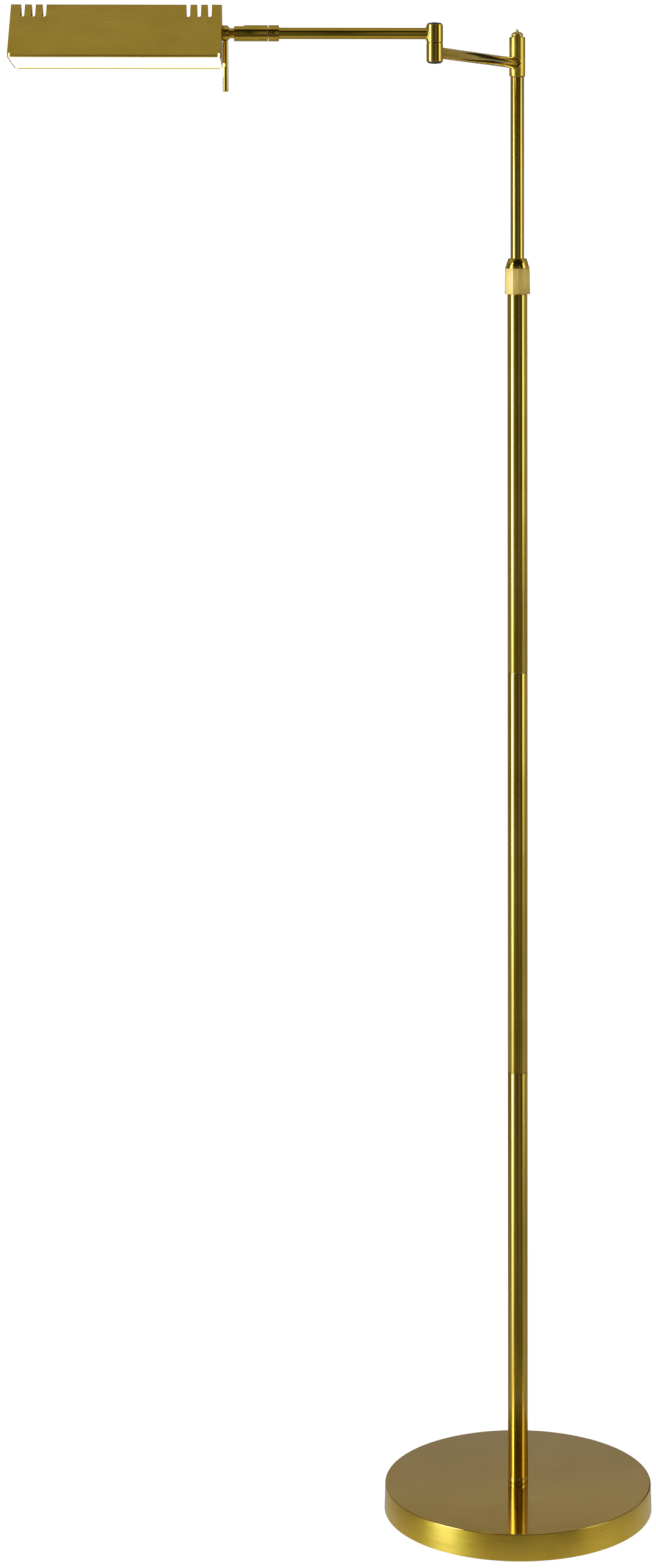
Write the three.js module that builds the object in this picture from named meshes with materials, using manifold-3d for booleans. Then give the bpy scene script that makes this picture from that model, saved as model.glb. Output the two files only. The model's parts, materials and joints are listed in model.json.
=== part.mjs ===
// Swing-arm floor lamp: a weighted round base, a three-piece pole, a telescoping mast with a clamp
// collar, two arms joined by an elbow, a rotary dimmer and a folded tent-shaped LED head.
// Millimetres, +Z up, -Y is the front. The origin is the middle of the base, on the floor.
import * as THREE from 'three';
import { mergeVertices } from 'three/addons/utils/BufferGeometryUtils.js';
import Module from 'manifold-3d';

const wasm = await Module();
wasm.setup();

// ---- driving dimensions ------------------------------------------------------------------------
const GAP = 0.3; // clearance between pieces that touch
const SLIP = 0.1; // clearance between pieces turned to fit each other
const HIDDEN = 20; // sides of a turned piece that is out of sight

const BASE = { radius: 127, topRadius: 126.2, height: 25.4, sheet: 1.5, edge: 1.2, lift: 0.8 };
const PAD = { radius: 124, thickness: 2.5 };
const WEIGHT = { radius: 123.4, bottom: 2.8, top: 23.6, pocket: 18, pocketTop: 16 };
const STUD = { radius: 5, bore: 3.4, bottom: 8.5, top: 44 };
const POLE = { radius: 9.5, bore: 8.3, bottom: 30.6, lowerSeam: 417, upperSeam: 797, top: 1154.4 };
const JOINER = { radius: 8.2, bore: 6.2, reach: 15 };
const COLLAR = { acrossFlats: 23.7, bottom: 1154.7, top: 1178.9, turn: 1.6 };
const CONE = { bottomRadius: 11.4, topRadius: 8.75, top: 1188.5 };
const MAST = { radius: 6.5, bore: 5.3, bottom: 994, top: 1358.6 };
const HUB = { radius: 7.55, bore: 4.75, bottom: 1359.3, top: 1396.7 };
const FINIAL = { band: 5.3, bandTop: 1397.8, dome: 5.8, domeTop: 1401.8, ball: 1.6, top: 1403.9 };

const ARM = { radius: 5.1, bore: 3.9, innerHeight: 1371.8, outerHeight: 1388.2 };
const ELBOW = {
  x: -76.6, y: -193, radius: 7.35, bore: 4.1, bottom: 1363.3, middle: 1380, top: 1396.3, round: 0.7,
  capRadius: 6.65, cap: 1.8,
};
const OUTER_TURN = 2.5; // degrees that the outer arm points forwards of straight left
const RING = { radius: 7.2, from: 136.7, to: 146 };
const KNOB = { radius: 7.15, from: 146.4, to: 176.1, flatLength: 7.9, flatDepth: 1.1, ramp: 2.1 };
const SHAFT = { radius: 4.5, endRadius: 3.5, bore: 2.2, from: 142, shoulder: 179.6, to: 195.6 };
const FLANGE = { radius: 5.8, from: 179.9, to: 181.1 };
const KNUCKLE = { radius: 7, spigot: 5, from: 181.3, to: 186.3, end: 190.1 };
const HANDLE = { radius: 2.6, neck: 2.35, stub: 1.8, at: 183.5, length: 44.4 };

const HEAD = { from: 186.6, length: 184.1, halfDepth: 39, ridge: 25.2, crease: -24.7, mouth: -26.7 };
// The folded sheet: the outer radius of its ridge, and the relief cut at the ends of the lip's fold.
const SHEET = { thickness: 1.2, bend: 2.6, reliefWidth: 2.4, reliefHeight: 5.6 };
const HEAD_TILT = 4.7; // degrees that the head's front edge is raised
const SLOT = { width: 3.4, pitch: 9.4, first: 10.5, bottom: 12.9, count: 3 };
const TRAY = { halfWidth: 25, deck: -10.8, flange: 8, thickness: 1.2, tab: 9 };
const BOARD = { length: 176, width: 36, thickness: 1.2, rows: 2, columns: 14 };
const DIFFUSER = { halfDepth: 36.8, bottom: -25.4, thickness: 1.6 };
const LEAD_RADIUS = 1.75;

// ---- materials ---------------------------------------------------------------------------------
const finish = (color, roughness, metalness) =>
  new THREE.MeshStandardMaterial({ color, roughness, metalness });
const antiqueBrass = finish(0x8c7436, 0.3, 1);
const satinBrass = finish(0xc8ae78, 0.35, 1);
const castIron = finish(0x3b3a38, 0.8, 0.6);
const zincSteel = finish(0xb4b6b8, 0.35, 1);
const aluminium = finish(0xc9ccd0, 0.4, 1);
const blackPlastic = finish(0x1c1b1a, 0.45, 0);
const nylon = finish(0xe8e6df, 0.5, 0);
const padFoam = finish(0x26241f, 0.9, 0);
const boardMask = finish(0xf2f2ee, 0.4, 0);
const opalAcrylic = finish(0xfffaf0, 0.5, 0);
const leadJacket = finish(0x2a2622, 0.6, 0);

// ---- shape helpers -----------------------------------------------------------------------------
const radians = THREE.MathUtils.degToRad;

// A turned piece standing on +Z. The outline is [radius, height] pairs, anticlockwise.
function turned(outline, segments = 30) {
  const points = outline.map(([r, z]) => new THREE.Vector2(r, z));
  return new THREE.LatheGeometry(points, segments).rotateX(Math.PI / 2);
}

// The same piece lying along +X.
const lying = (outline, segments) => turned(outline, segments).rotateY(Math.PI / 2);

const rod = (radius, from, to) => [[0, from], [radius, from], [radius, to], [0, to]];
const sleeve = (bore, radius, from, to) =>
  [[bore, from], [radius, from], [radius, to], [bore, to], [bore, from]];

// A sleeve whose outer ends are chamfered.
const bevelledSleeve = (bore, radius, from, to, bevel) => [
  [bore, from], [radius - bevel, from], [radius, from + bevel],
  [radius, to - bevel], [radius - bevel, to], [bore, to], [bore, from],
];

function block(width, depth, height, x, y, z) {
  return new THREE.BoxGeometry(width, depth, height).translate(x, y, z);
}

// A flat outline in the Y-Z plane, pushed along +X from a start to an end.
function pushedAlongX(points, from, to) {
  const geometry = new THREE.ExtrudeGeometry(new THREE.Shape(points), {
    depth: to - from, bevelEnabled: false, curveSegments: 12,
  });
  const [right, up, along] = [[0, 1, 0], [0, 0, 1], [1, 0, 0]].map((v) => new THREE.Vector3(...v));
  return geometry.applyMatrix4(new THREE.Matrix4().makeBasis(right, up, along)).translate(from, 0, 0);
}

// A round lead swept along a line of points.
function swept(points, radius, steps) {
  const section = new THREE.Shape().absarc(0, 0, radius, 0, Math.PI * 2);
  const path = new THREE.CatmullRomCurve3(points.map((p) => new THREE.Vector3(...p)));
  return new THREE.ExtrudeGeometry(section, { steps, extrudePath: path, curveSegments: 4 });
}

// ---- booleans ----------------------------------------------------------------------------------
function toSolid(geometry) {
  const bare = geometry.clone();
  bare.deleteAttribute('normal');
  bare.deleteAttribute('uv');
  const merged = mergeVertices(bare, 1e-4);
  const index = Array.from(merged.index.array);
  const corners = [];
  for (let i = 0; i < index.length; i += 3) {
    const [a, b, c] = index.slice(i, i + 3);
    if (a !== b && b !== c && c !== a) corners.push(a, b, c);
  }
  return new wasm.Manifold(new wasm.Mesh({
    numProp: 3, vertProperties: merged.attributes.position.array, triVerts: new Uint32Array(corners),
  }));
}

function toGeometry(solid) {
  const mesh = solid.getMesh();
  const geometry = new THREE.BufferGeometry();
  geometry.setAttribute('position', new THREE.BufferAttribute(mesh.vertProperties, 3));
  geometry.setIndex(new THREE.BufferAttribute(mesh.triVerts, 1));
  geometry.computeVertexNormals();
  return geometry;
}

const cut = (geometry, ...tools) =>
  toGeometry(tools.reduce((solid, tool) => solid.subtract(toSolid(tool)), toSolid(geometry)));
const join = (geometry, ...others) =>
  toGeometry(others.reduce((solid, other) => solid.add(toSolid(other)), toSolid(geometry)));

// ---- assembly ----------------------------------------------------------------------------------
const lamp = new THREE.Group();

const innerArm = new THREE.Group();
innerArm.rotation.z = Math.atan2(ELBOW.y, ELBOW.x);
innerArm.position.z = ARM.innerHeight;

const outerArm = new THREE.Group();
outerArm.rotation.z = Math.PI + radians(OUTER_TURN);
outerArm.position.set(ELBOW.x, ELBOW.y, ARM.outerHeight);

const head = new THREE.Group();
head.rotation.x = radians(HEAD_TILT);
outerArm.add(head);
lamp.add(innerArm, outerArm);

function place(group, name, geometry, material) {
  const mesh = new THREE.Mesh(geometry, material);
  mesh.name = name;
  group.add(mesh);
  return mesh;
}

// ---- base --------------------------------------------------------------------------------------
const BUSH = { hole: 4.2, flange: 5.6, bore: 2.4, height: 10.5 };

function baseCover() {
  const { radius, topRadius, height, sheet, edge, lift } = BASE;
  const hole = STUD.radius + SLIP;
  const outline = [
    [hole, height], [hole, height - sheet], [topRadius - sheet - 0.4, height - sheet],
    [radius - sheet, lift], [radius, lift], [topRadius, height - edge],
    [topRadius - 0.3 * edge, height - 0.3 * edge], [topRadius - edge, height], [hole, height],
  ];
  const bushHole = turned(rod(BUSH.hole, 0, 8), HIDDEN).rotateX(-Math.PI / 2)
    .translate(0, radius - 6, BUSH.height);
  return cut(turned(outline, 60), bushHole);
}

function baseWeight() {
  const { radius, bottom, top, pocket, pocketTop } = WEIGHT;
  const disc = turned(sleeve(STUD.radius + SLIP, radius, bottom, top), 40);
  const nutPocket = turned(rod(pocket, 0, pocketTop), HIDDEN);
  const leadChannel = block(10, radius, 16, 0, radius / 2 + 6, 7);
  return cut(disc, nutPocket, leadChannel);
}

function cordBush() {
  const { hole, flange, bore } = BUSH;
  const outline = [
    [bore, 0], [hole - SLIP, 0], [hole - SLIP, 4.2], [flange, 4.2],
    [flange, 5.2], [bore + 1.2, 6.2], [bore, 6.2], [bore, 0],
  ];
  return turned(outline, HIDDEN).rotateX(-Math.PI / 2).translate(0, BASE.radius - 3.7, BUSH.height);
}

const hexagon = (acrossFlats) => Array.from({ length: 6 }, (_, i) => {
  const angle = radians(60 * i + 30);
  const reach = acrossFlats / 2 / Math.cos(radians(30));
  return new THREE.Vector2(reach * Math.cos(angle), reach * Math.sin(angle));
});

function hexNut(acrossFlats, bore, thickness) {
  const body = new THREE.ExtrudeGeometry(new THREE.Shape(hexagon(acrossFlats)), {
    depth: thickness, bevelEnabled: false,
  });
  return cut(body, turned(rod(bore, -1, thickness + 1), HIDDEN));
}

place(lamp, 'base_cover', baseCover(), antiqueBrass);
place(lamp, 'base_weight', baseWeight(), castIron);
place(lamp, 'base_pad', turned(rod(PAD.radius, 0, PAD.thickness), 48), padFoam);
place(lamp, 'cord_bush', cordBush(), blackPlastic);
place(lamp, 'foot_stud', turned(sleeve(STUD.bore, STUD.radius, STUD.bottom, STUD.top), HIDDEN), zincSteel);
place(lamp, 'base_washer', turned(sleeve(STUD.radius + SLIP, 12, 14.4, 15.8), HIDDEN), zincSteel);
place(lamp, 'base_nut', hexNut(17, STUD.radius + SLIP, 5).translate(0, 0, 9.2), zincSteel);
place(lamp, 'foot_ring',
  turned(bevelledSleeve(STUD.radius + SLIP, POLE.radius, BASE.height + SLIP, POLE.bottom - SLIP, 0.3)),
  antiqueBrass);

// ---- pole --------------------------------------------------------------------------------------
const poleTube = (from, to) => turned(bevelledSleeve(POLE.bore, POLE.radius, from, to, 0.25), 32);
const joiner = (seam) =>
  turned(sleeve(JOINER.bore, JOINER.radius, seam - JOINER.reach, seam + JOINER.reach), HIDDEN);

function footPlug() {
  return turned(sleeve(STUD.radius + SLIP, JOINER.radius, POLE.bottom + SLIP, POLE.bottom + 14), HIDDEN);
}

// The fitting in the pole's top end: a plug inside the tube and a threaded neck above it.
function poleTopFitting() {
  const plug = POLE.bore - SLIP;
  const neck = 8.6;
  const bore = MAST.radius + SLIP;
  return turned([
    [bore, POLE.top - 19], [plug, POLE.top - 19], [plug, POLE.top + SLIP],
    [neck, POLE.top + SLIP], [neck, COLLAR.bottom + 13], [bore, COLLAR.bottom + 13], [bore, POLE.top - 19],
  ], HIDDEN);
}

// A slit nylon ring that the collar squeezes onto the mast.
function collet() {
  const bottom = COLLAR.bottom + 13.3;
  const ring = turned([
    [MAST.radius + SLIP, bottom], [8.5, bottom], [8.5, bottom + 4],
    [7.6, COLLAR.top - GAP], [MAST.radius + SLIP, COLLAR.top - GAP], [MAST.radius + SLIP, bottom],
  ], HIDDEN);
  return cut(ring, block(6, 1, 20, 8, 0, bottom + 5));
}

place(lamp, 'pole_lower', poleTube(POLE.bottom, POLE.lowerSeam - 0.2), antiqueBrass);
place(lamp, 'pole_middle', poleTube(POLE.lowerSeam + 0.2, POLE.upperSeam - 0.2), antiqueBrass);
place(lamp, 'pole_upper', poleTube(POLE.upperSeam + 0.2, POLE.top), antiqueBrass);
place(lamp, 'foot_plug', footPlug(), zincSteel);
place(lamp, 'joiner_lower', joiner(POLE.lowerSeam), zincSteel);
place(lamp, 'joiner_upper', joiner(POLE.upperSeam), zincSteel);
place(lamp, 'pole_top_fitting', poleTopFitting(), zincSteel);
place(lamp, 'collet', collet(), nylon);

// The supply lead comes in through the bush, turns up under the foot stud and climbs the pole.
const LEAD = { bend: 6, top: 13, end: 822 };
const leadTurn = [90, 65, 40, 15].map((angle) => [
  0, LEAD.bend * (1 - Math.cos(radians(angle))), 11.2 - LEAD.bend * Math.sin(radians(angle)),
]);
const baseLeadRoute = [
  [0, 119, BUSH.height], [0, 100, 9.5], [0, 60, 6], [0, 20, 5.2], ...leadTurn, [0, 0, LEAD.top],
];
place(lamp, 'base_lead', swept(baseLeadRoute, LEAD_RADIUS, 56), leadJacket);
place(lamp, 'pole_lead', turned(rod(LEAD_RADIUS, LEAD.top + GAP, LEAD.end), 12), leadJacket);

// ---- clamp collar ------------------------------------------------------------------------------
function octagonGrip() {
  const corner = COLLAR.acrossFlats / 2 / Math.cos(radians(22.5));
  const points = Array.from({ length: 8 }, (_, i) => {
    const angle = radians(45 * i + 22.5 + COLLAR.turn);
    return new THREE.Vector2(corner * Math.cos(angle), corner * Math.sin(angle));
  });
  const bevel = 0.5;
  const body = new THREE.ExtrudeGeometry(new THREE.Shape(points), {
    depth: COLLAR.top - COLLAR.bottom - 2 * bevel, bevelSize: bevel, bevelOffset: -bevel,
    bevelThickness: bevel, bevelSegments: 1,
  }).translate(0, 0, COLLAR.bottom + bevel);
  return cut(body, turned(rod(8.8, COLLAR.bottom - 1, COLLAR.top + 1)));
}

place(lamp, 'collar_grip', octagonGrip(), satinBrass);
place(lamp, 'collar_cone', turned([
  [MAST.radius + GAP, COLLAR.top + SLIP], [CONE.bottomRadius, COLLAR.top + SLIP],
  [CONE.bottomRadius, COLLAR.top + 0.9], [CONE.topRadius, CONE.top - 0.4],
  [CONE.topRadius - 0.4, CONE.top], [MAST.radius + GAP, CONE.top], [MAST.radius + GAP, COLLAR.top + SLIP],
]), antiqueBrass);

// ---- mast --------------------------------------------------------------------------------------
function mastGuide() {
  const bore = MAST.radius + SLIP;
  return turned(bevelledSleeve(bore, 8.1, MAST.bottom + 2, MAST.bottom + 18, 0.6), HIDDEN);
}

// The turned pivot: a plug in the mast, the spindle that the hub turns on and the finial's stub.
function hubPivot() {
  const [plug, spindle, stub, bore] = [MAST.bore - SLIP, HUB.bore - SLIP, 2.2, 2.6];
  const body = turned([
    [bore, MAST.top - 20], [plug, MAST.top - 20], [plug, MAST.top], [spindle, MAST.top],
    [spindle, HUB.top], [stub, HUB.top], [stub, HUB.top + 4], [0, HUB.top + 4],
    [0, ARM.innerHeight + 4], [bore, ARM.innerHeight + 4], [bore, MAST.top - 20],
  ], HIDDEN);
  const window = block(8, 5, 6, 4, 0, ARM.innerHeight).rotateZ(innerArm.rotation.z);
  return cut(body, window);
}

function finialCap() {
  const bottom = FINIAL.bandTop + SLIP;
  const dome = FINIAL.domeTop - bottom;
  const arc = [0, 15, 30, 45, 60, 75].map((angle) => [
    FINIAL.dome * Math.cos(radians(angle)), bottom + 0.2 + dome * Math.sin(radians(angle)),
  ]);
  const ballCentre = FINIAL.top - FINIAL.ball;
  const ball = [-15, 0, 30, 60].map((angle) => [
    FINIAL.ball * Math.cos(radians(angle)), ballCentre + FINIAL.ball * Math.sin(radians(angle)),
  ]);
  const stubHole = 2.3;
  return turned([
    [0, HUB.top + 4.3], [stubHole, HUB.top + 4.3], [stubHole, bottom], [FINIAL.dome, bottom],
    ...arc, ...ball, [0, FINIAL.top],
  ], 24);
}

place(lamp, 'mast_tube', turned(sleeve(MAST.bore, MAST.radius, MAST.bottom, MAST.top), 28), antiqueBrass);
place(lamp, 'mast_guide', mastGuide(), nylon);
place(lamp, 'hub_pivot', hubPivot(), zincSteel);
place(lamp, 'hub_washer',
  turned(sleeve(HUB.bore, 6.3, MAST.top + SLIP, HUB.bottom - SLIP), 24), nylon);
place(lamp, 'finial_washer', turned(sleeve(2.4, FINIAL.band, HUB.top + SLIP, FINIAL.bandTop), 24), antiqueBrass);
place(lamp, 'finial_cap', finialCap(), antiqueBrass);
place(lamp, 'mast_lead',
  turned(rod(LEAD_RADIUS, MAST.bottom + 4, ARM.innerHeight - 2), 12), leadJacket);

// ---- inner arm ---------------------------------------------------------------------------------
const reach = Math.hypot(ELBOW.x, ELBOW.y);
const armHole = (from, to) => lying(rod(ARM.radius + SLIP, from, to), 28);
const armTube = (from, to) => lying(sleeve(ARM.bore, ARM.radius, from, to), 28);

function swingHub() {
  const low = HUB.bottom - ARM.innerHeight;
  const high = HUB.top - ARM.innerHeight;
  return cut(turned(bevelledSleeve(HUB.bore, HUB.radius, low, high, 0.4)), armHole(0, 20));
}

// One barrel of the elbow, in the frame of its own arm, with a hole for the arm tube. It is
// rounded at its open end, which is the upper one when towards is 1 and the lower one at -1.
function elbowBarrel(low, high, towards) {
  const { radius, bore, round } = ELBOW;
  const [flat, open] = towards > 0 ? [low, high] : [high, low];
  const outline = [
    [bore, flat], [radius - 0.35, flat], [radius, flat + 0.35 * towards], [radius, open - round * towards],
    [radius - 0.3 * round, open - 0.3 * round * towards], [radius - round, open], [bore, open], [bore, flat],
  ];
  const barrel = turned(towards > 0 ? outline : outline.reverse());
  return cut(barrel, towards < 0 ? armHole(-20, 0) : armHole(0, 20));
}

// A shallow moulded dome that plugs a barrel's open end.
function elbowCap() {
  const { capRadius, cap } = ELBOW;
  const sphere = (capRadius ** 2 + cap ** 2) / (2 * cap);
  const span = Math.asin((capRadius - 0.2) / sphere);
  const arc = [1, 0.8, 0.6, 0.4, 0.2, 0].map((part) => [
    sphere * Math.sin(span * part), cap - sphere + sphere * Math.cos(span * part),
  ]);
  return turned([[0, SLIP], [capRadius - 0.2, SLIP], ...arc], 24);
}

// The hollow rivet that the two barrels turn on.
function elbowPin() {
  const low = ELBOW.bottom + 0.4 - ARM.innerHeight;
  const high = ELBOW.top - 0.4 - ARM.innerHeight;
  const pin = turned(sleeve(2, ELBOW.bore - SLIP, low, high), HIDDEN);
  const windows = [block(8, 4, 4, -4, 0, 0), block(8, 4, 4, 4, 0, ARM.outerHeight - ARM.innerHeight)];
  return cut(pin, ...windows);
}

place(innerArm, 'swing_hub', swingHub(), antiqueBrass);
place(innerArm, 'inner_arm_tube', armTube(5.6, reach - 5.2), antiqueBrass);
place(innerArm, 'inner_arm_lead', lying(rod(LEAD_RADIUS, 6.5, reach - 6), 12), leadJacket);
const lowerBarrel = elbowBarrel(ELBOW.bottom - ARM.innerHeight, ELBOW.middle - 0.25 - ARM.innerHeight, -1);
place(innerArm, 'elbow_barrel_lower', lowerBarrel.translate(reach, 0, 0), antiqueBrass);
place(innerArm, 'elbow_pin', elbowPin().translate(reach, 0, 0), zincSteel);
place(innerArm, 'elbow_cap_lower',
  elbowCap().rotateX(Math.PI).translate(reach, 0, ELBOW.bottom - ARM.innerHeight), blackPlastic);

// ---- outer arm ---------------------------------------------------------------------------------
function armEndRing() {
  const { radius, from, to } = RING;
  const tubeHole = ARM.radius + SLIP;
  const shaftHole = SHAFT.radius + SLIP;
  return lying([
    [tubeHole, from], [radius - 0.4, from], [radius, from + 0.4], [radius, to - 0.3], [radius - 0.3, to],
    [shaftHole, to], [shaftHole, SHAFT.from - 0.1], [tubeHole, SHAFT.from - 0.1], [tubeHole, from],
  ]);
}

function swivelShaft() {
  const { radius, endRadius, bore, from, shoulder, to } = SHAFT;
  return lying([
    [bore, from], [radius, from], [radius, shoulder], [endRadius, shoulder],
    [endRadius, to], [bore, to], [bore, from],
  ], HIDDEN);
}

place(outerArm, 'elbow_barrel_upper',
  elbowBarrel(ELBOW.middle + 0.25 - ARM.outerHeight, ELBOW.top - ARM.outerHeight, 1), antiqueBrass);
place(outerArm, 'elbow_washer', turned(
  sleeve(ELBOW.bore, 6.8, ELBOW.middle - 0.17 - ARM.outerHeight, ELBOW.middle + 0.17 - ARM.outerHeight),
  HIDDEN,
), blackPlastic);
place(outerArm, 'elbow_cap_upper', elbowCap().translate(0, 0, ELBOW.top - ARM.outerHeight), blackPlastic);
place(outerArm, 'outer_arm_tube', armTube(5.2, SHAFT.from - 0.4), antiqueBrass);
place(outerArm, 'arm_end_ring', armEndRing(), antiqueBrass);
place(outerArm, 'swivel_shaft', swivelShaft(), antiqueBrass);
place(outerArm, 'dimmer_pot', lying(
  sleeve(SHAFT.radius + SLIP, 5.9, KNOB.from + 2, KNOB.from + 14), HIDDEN,
), blackPlastic);
place(outerArm, 'outer_arm_lead', lying(rod(LEAD_RADIUS, 6, SHAFT.to + 2), 12), leadJacket);
place(outerArm, 'spring_washer', lying(
  sleeve(SHAFT.endRadius + SLIP, 6.2, KNUCKLE.end + GAP, KNUCKLE.end + GAP + 1), HIDDEN,
), zincSteel);
place(outerArm, 'swivel_nut',
  hexNut(11, SHAFT.endRadius + SLIP, 3.4).rotateY(Math.PI / 2)
    .translate(KNUCKLE.end + 2 * GAP + 1, 0, 0), zincSteel);

// ---- dimmer ------------------------------------------------------------------------------------
function dimmerKnob() {
  const { radius, from, to, flatLength, flatDepth, ramp } = KNOB;
  const [wide, narrow, wall] = [6.1, SHAFT.radius + SLIP, 3];
  const barrel = lying([
    [wide, from], [radius - 0.3, from], [radius, from + 0.3], [radius, to - 0.3], [radius - 0.3, to],
    [narrow, to], [narrow, to - wall], [wide, to - wall], [wide, from],
  ], 36);
  const low = radius - flatDepth;
  const wedge = new THREE.Shape([
    new THREE.Vector2(to - flatLength - ramp, radius + 0.05), new THREE.Vector2(to - flatLength, low),
    new THREE.Vector2(to + 1, low), new THREE.Vector2(to + 1, radius + 2),
    new THREE.Vector2(to - flatLength - ramp, radius + 2),
  ]);
  const mill = new THREE.ExtrudeGeometry(wedge, { depth: 20, bevelEnabled: false })
    .rotateX(Math.PI / 2).translate(0, 10, 0);
  return cut(barrel, mill);
}

place(outerArm, 'dimmer_knob', dimmerKnob(), antiqueBrass);

// ---- head --------------------------------------------------------------------------------------
// Half of the tent's outline: from the mouth up to the ridge, set in from the outer face.
const ridgeCentre = HEAD.ridge - SHEET.bend;
const panelRun = Math.hypot(HEAD.halfDepth, ridgeCentre - HEAD.crease);
const panelTurn = Math.acos(SHEET.bend / panelRun) - Math.atan2(ridgeCentre - HEAD.crease, HEAD.halfDepth);

function halfTent(inset, mouth) {
  const side = HEAD.halfDepth - inset;
  const bend = SHEET.bend - inset;
  const shoulder = ridgeCentre + (bend - Math.cos(panelTurn) * side) / Math.sin(panelTurn);
  const arc = [0, 0.25, 0.5, 0.75].map((part) => panelTurn + part * (Math.PI / 2 - panelTurn));
  return [
    [side, mouth], [side, shoulder],
    ...arc.map((angle) => [bend * Math.cos(angle), ridgeCentre + bend * Math.sin(angle)]),
  ];
}

function tent(inset, mouth) {
  const front = halfTent(inset, mouth);
  const back = front.map(([y, z]) => [-y, z]).reverse();
  return [...front, [0, ridgeCentre + SHEET.bend - inset], ...back];
}

const toPoints = (pairs) => pairs.map(([y, z]) => new THREE.Vector2(y, z));

function slotCutter(at) {
  const { width, bottom } = SLOT;
  const shape = new THREE.Shape();
  shape.absarc(0, bottom + width / 2, width / 2, Math.PI, Math.PI * 2);
  shape.lineTo(width / 2, HEAD.ridge + 5);
  shape.lineTo(-width / 2, HEAD.ridge + 5);
  return new THREE.ExtrudeGeometry(shape, { depth: 60, bevelEnabled: false, curveSegments: 6 })
    .rotateX(Math.PI / 2).translate(at, 30, 0);
}

function shade() {
  const outline = [...tent(0, HEAD.mouth), ...tent(SHEET.thickness, HEAD.mouth).reverse()];
  const sheet = pushedAlongX(toPoints(outline), HEAD.from, HEAD.from + HEAD.length);
  const slots = [];
  for (let i = 0; i < SLOT.count; i += 1) {
    const inset = SLOT.first + i * SLOT.pitch;
    slots.push(slotCutter(HEAD.from + inset), slotCutter(HEAD.from + HEAD.length - inset));
  }
  const { reliefWidth, reliefHeight } = SHEET;
  const reliefs = [HEAD.from, HEAD.from + HEAD.length].map((x) =>
    block(2 * reliefWidth, 100, reliefHeight, x, 0, HEAD.mouth - 1 + reliefHeight / 2));
  return cut(sheet, ...slots, ...reliefs);
}

// An end plate fills the tent's end, with its two lower corners cut off.
function endPlate(from) {
  const inset = SHEET.thickness + 0.2;
  const corner = 4;
  const mouth = HEAD.mouth + 0.2;
  const rise = mouth + corner - ridgeCentre;
  const side = (SHEET.bend - inset - Math.sin(panelTurn) * rise) / Math.cos(panelTurn);
  const cutCorners = [
    [-side, mouth + corner], [corner - side, mouth], [side - corner, mouth], [side, mouth + corner],
  ];
  const outline = [...cutCorners, ...tent(inset, mouth).slice(2, -2)];
  return pushedAlongX(toPoints(outline), from, from + SHEET.thickness);
}

// The knuckle: a turned boss with a spigot through the end plate and a socket for the handle.
function headKnuckle() {
  const { radius, spigot, from, to, end } = KNUCKLE;
  const bore = SHAFT.endRadius + SLIP;
  const body = lying([
    [bore, from], [radius - 0.5, from], [radius, from + 0.5], [radius, to - 0.5], [radius - 0.5, to],
    [spigot, to], [spigot, end], [bore, end], [bore, from],
  ]);
  return cut(body, turned(rod(HANDLE.stub + 0.15, -20, -bore), HIDDEN).translate(HANDLE.at, 0, 0));
}

function handleRod() {
  const { radius, neck, stub, length } = HANDLE;
  const top = -KNUCKLE.radius - GAP;
  const tip = [90, 60, 30, 0].map((angle) => [
    radius * Math.cos(radians(angle)), top - length + radius - radius * Math.sin(radians(angle)),
  ]);
  return turned([
    ...tip, [neck, top - 0.3], [neck - 0.3, top], [stub, top], [stub, top + 2.8], [0, top + 2.8],
  ], HIDDEN).translate(HANDLE.at, 0, 0);
}

const plateInset = SHEET.thickness + GAP;
const insideFrom = HEAD.from + plateInset;
const insideTo = HEAD.from + HEAD.length - plateInset;
const middle = HEAD.from + HEAD.length / 2;
const SCREWS = [-60, 60];
const LOCK_RING = 7.6;

function ledTray() {
  const { halfWidth, deck, flange, thickness, tab } = TRAY;
  const channel = [
    [halfWidth, deck - flange], [halfWidth, deck], [-halfWidth, deck], [-halfWidth, deck - flange],
    [-halfWidth + thickness, deck - flange], [-halfWidth + thickness, deck - thickness],
    [halfWidth - thickness, deck - thickness], [halfWidth - thickness, deck - flange],
  ];
  const body = pushedAlongX(toPoints(channel), insideFrom, insideTo);
  const tabs = [insideFrom + thickness / 2, insideTo - thickness / 2].map((x) =>
    block(thickness, 30, tab, x, 0, deck + tab / 2 - 0.2));
  const holes = SCREWS.map((x) => turned(rod(1.6, deck - 5, deck + 5), 16).translate(middle + x, 0, 0));
  tabs[0] = cut(tabs[0], lying(rod(LOCK_RING + GAP, insideFrom - 2, insideFrom + 4), HIDDEN));
  return cut(join(body, ...tabs), ...holes);
}

function ledBoard() {
  const { length, width, thickness, rows, columns } = BOARD;
  const top = TRAY.deck - TRAY.thickness - GAP;
  const chips = [];
  for (let row = 0; row < rows; row += 1) {
    for (let column = 0; column < columns; column += 1) {
      const x = middle + ((column + 0.5) / columns - 0.5) * (length - 8);
      const y = (row - (rows - 1) / 2) * 18;
      chips.push(block(3.5, 2.8, 0.9, x, y, top - thickness - 0.35));
    }
  }
  const holes = SCREWS.map((x) => turned(rod(1.6, top - 5, top + 5), 16).translate(middle + x, 0, 0));
  return cut(join(block(length, width, thickness, middle, 0, top - thickness / 2), ...chips), ...holes);
}

function boardScrew(x) {
  const top = TRAY.deck - TRAY.thickness - GAP - BOARD.thickness - GAP;
  return turned([
    [0, top - 1.6], [1.8, top - 1.6], [2.7, top - 0.6], [2.7, top], [1.4, top], [1.4, top + 6], [0, top + 6],
  ], 20).translate(middle + x, 0, 0);
}

function diffuser() {
  const { halfDepth, bottom, thickness } = DIFFUSER;
  return block(insideTo - insideFrom, 2 * halfDepth, thickness, middle, 0, bottom + thickness / 2);
}

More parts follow.
